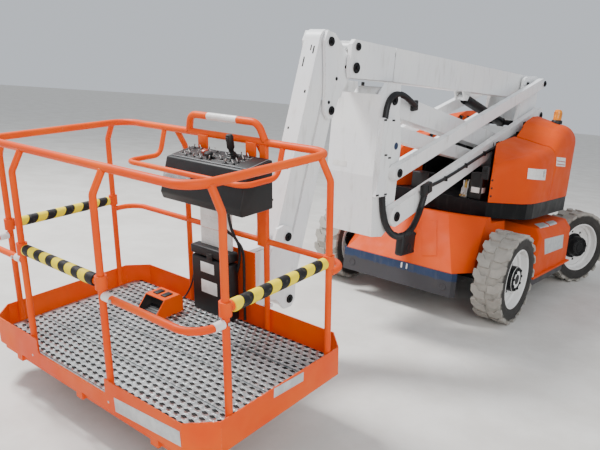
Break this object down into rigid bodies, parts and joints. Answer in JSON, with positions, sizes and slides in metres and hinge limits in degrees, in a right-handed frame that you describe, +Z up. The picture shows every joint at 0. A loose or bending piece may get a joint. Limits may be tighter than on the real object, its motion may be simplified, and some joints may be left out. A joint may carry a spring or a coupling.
{
  "type": "articulating boom lift",
  "caption": "Self-propelled articulating boom lift: wheeled chassis, slewing turntable with cowls, folding riser, telescopic boom, jib and a tilted work platform.",
  "frame": {"origin": "on the ground under the slew axis", "axes": "+X forward towards the work platform, +Y to the machine's left, +Z up"},
  "size_m": [5.7399, 2.0399, 2.055],
  "materials": {
    "orange_paint": "semi-gloss",
    "orange_plastic": "moulded, satin",
    "white_paint": "semi-gloss",
    "steel_blue_paint": "satin",
    "black_paint": "satin",
    "galvanised": "galvanised",
    "chrome_rod": "polished",
    "tyre_rubber": "matte",
    "black_plastic": "matte",
    "amber_lens": "gloss"
  },
  "bodies": {
    "chassis": {"chassis_frame": "steel_blue_paint", "front_axle": "black_paint", "front_cover": "orange_plastic", "side_covers": "orange_plastic"},
    "knuckle_left": {"knuckle_left": "black_paint"},
    "knuckle_right": {"knuckle_right": "black_paint"},
    "turntable": {"turntable_deck": "black_paint", "ground_controls": "black_plastic"},
    "hood_front_left": {"hood_front_left": "orange_plastic"},
    "hood_front_right": {"hood_front_right": "orange_plastic"},
    "hood_rear_left": {"hood_rear_left": "orange_plastic", "beacon": "amber_lens"},
    "hood_rear_right": {"hood_rear_right": "orange_plastic"},
    "lower_arm": {"lower_arm": "white_paint"},
    "lower_link": {"lower_link": "white_paint"},
    "upright": {"upright": "white_paint"},
    "upper_arm": {"upper_arm": "white_paint"},
    "upper_link": {"upper_link": "white_paint"},
    "rear_bracket": {"rear_bracket": "white_paint"},
    "riser_barrels": {"riser_barrels": "black_paint"},
    "riser_rods": {"riser_rods": "chrome_rod"},
    "boom_outer": {"boom_outer": "white_paint"},
    "boom_inner": {"boom_inner": "white_paint"},
    "lift_barrel": {"lift_barrel": "black_paint"},
    "lift_rod": {"lift_rod": "chrome_rod"},
    "jib_knuckle": {"jib_knuckle": "white_paint"},
    "jib_main": {"jib_main": "white_paint"},
    "jib_link": {"jib_link": "white_paint"},
    "jib_head": {"jib_head": "white_paint"},
    "platform": {"platform_floor": "galvanised", "platform_frame": "orange_paint", "platform_posts": "orange_paint", "platform_rails": "orange_paint", "platform_top_rail": "orange_paint", "platform_mount": "white_paint", "console": "black_plastic", "document_box": "black_plastic", "foot_pedal": "orange_paint"},
    "entry_bar_outer": {"entry_bar_outer": "orange_paint"},
    "entry_bar_left": {"entry_bar_left": "orange_paint"},
    "entry_bar_right": {"entry_bar_right": "orange_paint"},
    "wheel_front_left": {"tyre_front_left": "tyre_rubber", "rim_front_left": "white_paint"},
    "wheel_front_right": {"tyre_front_right": "tyre_rubber", "rim_front_right": "white_paint"},
    "wheel_rear_left": {"tyre_rear_left": "tyre_rubber", "rim_rear_left": "white_paint"},
    "wheel_rear_right": {"tyre_rear_right": "tyre_rubber", "rim_rear_right": "white_paint"}
  },
  "joints": [
    {"name": "steer_left", "type": "hinge", "parent": "chassis", "child": "knuckle_left", "pos_m": [-0.96, 0.69, 0.366], "axis": [0, 0, 1], "range_deg": [-7, 57]},
    {"name": "steer_right", "type": "hinge", "parent": "chassis", "child": "knuckle_right", "pos_m": [-0.96, -0.69, 0.366], "axis": [0, 0, 1], "range_deg": [-7, 57]},
    {"name": "spin_rear_left", "type": "hinge", "parent": "knuckle_left", "child": "wheel_rear_left", "pos_m": [-0.96, 0.69, 0.366], "axis": [0.4226, 0.9063, 0], "continuous": true},
    {"name": "spin_rear_right", "type": "hinge", "parent": "knuckle_right", "child": "wheel_rear_right", "pos_m": [-0.96, -0.69, 0.366], "axis": [0.4226, 0.9063, 0], "continuous": true},
    {"name": "spin_front_left", "type": "hinge", "parent": "chassis", "child": "wheel_front_left", "pos_m": [0.94, 0.69, 0.366], "axis": [0, 1, 0], "continuous": true},
    {"name": "spin_front_right", "type": "hinge", "parent": "chassis", "child": "wheel_front_right", "pos_m": [0.94, -0.69, 0.366], "axis": [0, 1, 0], "continuous": true},
    {"name": "slew", "type": "hinge", "parent": "chassis", "child": "turntable", "pos_m": [0, 0, 0.7], "axis": [0, 0, 1], "range_deg": [-177.5, 177.5]},
    {"name": "hood_front_left_lift", "type": "hinge", "parent": "turntable", "child": "hood_front_left", "pos_m": [0, 0.331, 1.385], "axis": [1, 0, 0], "range_deg": [0, 50]},
    {"name": "hood_front_right_lift", "type": "hinge", "parent": "turntable", "child": "hood_front_right", "pos_m": [0, -0.331, 1.385], "axis": [-1, 0, 0], "range_deg": [0, 50]},
    {"name": "hood_rear_left_lift", "type": "hinge", "parent": "turntable", "child": "hood_rear_left", "pos_m": [0, 0.331, 1.57], "axis": [1, 0, 0], "range_deg": [0, 50]},
    {"name": "hood_rear_right_lift", "type": "hinge", "parent": "turntable", "child": "hood_rear_right", "pos_m": [0, -0.331, 1.57], "axis": [-1, 0, 0], "range_deg": [0, 50]},
    {"name": "riser", "type": "hinge", "parent": "turntable", "child": "lower_arm", "pos_m": [-0.58277, 0, 1.29467], "axis": [0, -1, 0], "range_deg": [0, 60]},
    {"name": "riser_link", "type": "hinge", "parent": "turntable", "child": "lower_link", "pos_m": [-0.48777, 0, 1.11467], "axis": [0, -1, 0], "range_deg": [0, 60]},
    {"name": "upright_level", "type": "hinge", "parent": "lower_arm", "child": "upright", "pos_m": [1.99, 0, 1.67], "axis": [0, 1, 0], "range_deg": [0, 60]},
    {"name": "upper_arm_lift", "type": "hinge", "parent": "upright", "child": "upper_arm", "pos_m": [1.9, 0, 0.86], "axis": [0, 1, 0], "range_deg": [0, 54]},
    {"name": "upper_link_lift", "type": "hinge", "parent": "upright", "child": "upper_link", "pos_m": [1.93, 0, 1.175], "axis": [0, 1, 0], "range_deg": [0, 54]},
    {"name": "rear_bracket_level", "type": "hinge", "parent": "upper_arm", "child": "rear_bracket", "pos_m": [-0.82944, 0, 1.64472], "axis": [0, -1, 0], "range_deg": [0, 54]},
    {"name": "riser_barrel_swing", "type": "hinge", "parent": "turntable", "child": "riser_barrels", "pos_m": [-0.35, 0, 0.95], "axis": [0, -1, 0], "range_deg": [0, 36.7]},
    {"name": "riser_rod_slide", "type": "slide", "parent": "riser_barrels", "child": "riser_rods", "axis": [0.5321, 0, 0.8467], "range_m": [0, 0.3341]},
    {"name": "boom_lift", "type": "hinge", "parent": "rear_bracket", "child": "boom_outer", "pos_m": [-0.56, 0, 1.925], "axis": [0, -1, 0], "range_deg": [0, 70]},
    {"name": "lift_barrel_swing", "type": "hinge", "parent": "rear_bracket", "child": "lift_barrel", "pos_m": [-0.47, 0, 1.545], "axis": [0, -1, 0], "range_deg": [0, 60.5]},
    {"name": "lift_rod_slide", "type": "slide", "parent": "lift_barrel", "child": "lift_rod", "axis": [0.9794, 0, 0.2018], "range_m": [0, 0.442]},
    {"name": "boom_extend", "type": "slide", "parent": "boom_outer", "child": "boom_inner", "axis": [1, 0, 0], "range_m": [0, 1.9]},
    {"name": "jib_knuckle_level", "type": "hinge", "parent": "boom_inner", "child": "jib_knuckle", "pos_m": [2.4, 0, 1.85], "axis": [0, 1, 0], "range_deg": [0, 70]},
    {"name": "jib_lift", "type": "hinge", "parent": "jib_knuckle", "child": "jib_main", "pos_m": [2.572, 0, 1.575], "axis": [0, -1, 0], "range_deg": [0, 135]},
    {"name": "jib_head_level", "type": "hinge", "parent": "jib_main", "child": "jib_head", "pos_m": [2.83389, 0, 0.39368], "axis": [0, 1, 0], "range_deg": [0, 135]},
    {"name": "jib_link_swing", "type": "hinge", "parent": "jib_head", "child": "jib_link", "pos_m": [2.89689, 0, 0.80368], "axis": [0, -1, 0], "range_deg": [0, 135]},
    {"name": "platform_rotate", "type": "hinge", "parent": "jib_head", "child": "platform", "pos_m": [3.09019, 0, 0.50919], "axis": [0.1229, 0, 0.9924], "range_deg": [-90, 90]},
    {"name": "entry_bar_outer_lift", "type": "slide", "parent": "platform", "child": "entry_bar_outer", "axis": [0.1229, 0, 0.9924], "range_m": [0, 0.33]},
    {"name": "entry_bar_left_lift", "type": "slide", "parent": "platform", "child": "entry_bar_left", "axis": [0.1229, 0, 0.9924], "range_m": [0, 0.33]},
    {"name": "entry_bar_right_lift", "type": "slide", "parent": "platform", "child": "entry_bar_right", "axis": [0.1229, 0, 0.9924], "range_m": [0, 0.33]}
  ],
  "couplings": [
    {"joint": "steer_right", "follows": "steer_left", "ratio": 1},
    {"joint": "riser_link", "follows": "riser", "ratio": 1},
    {"joint": "upright_level", "follows": "riser", "ratio": 1},
    {"joint": "upper_arm_lift", "follows": "riser", "ratio": 0.9},
    {"joint": "upper_link_lift", "follows": "riser", "ratio": 0.9},
    {"joint": "rear_bracket_level", "follows": "riser", "ratio": 0.9},
    {"joint": "riser_barrel_swing", "follows": "riser", "ratio": 0.6026},
    {"joint": "riser_rod_slide", "follows": "riser", "m_per_rad": 0.31709},
    {"joint": "lift_barrel_swing", "follows": "boom_lift", "ratio": 0.8572},
    {"joint": "lift_rod_slide", "follows": "boom_lift", "m_per_rad": 0.36016},
    {"joint": "jib_knuckle_level", "follows": "boom_lift", "ratio": 1},
    {"joint": "jib_link_swing", "follows": "jib_lift", "ratio": 1},
    {"joint": "jib_head_level", "follows": "jib_lift", "ratio": 1}
  ]
}
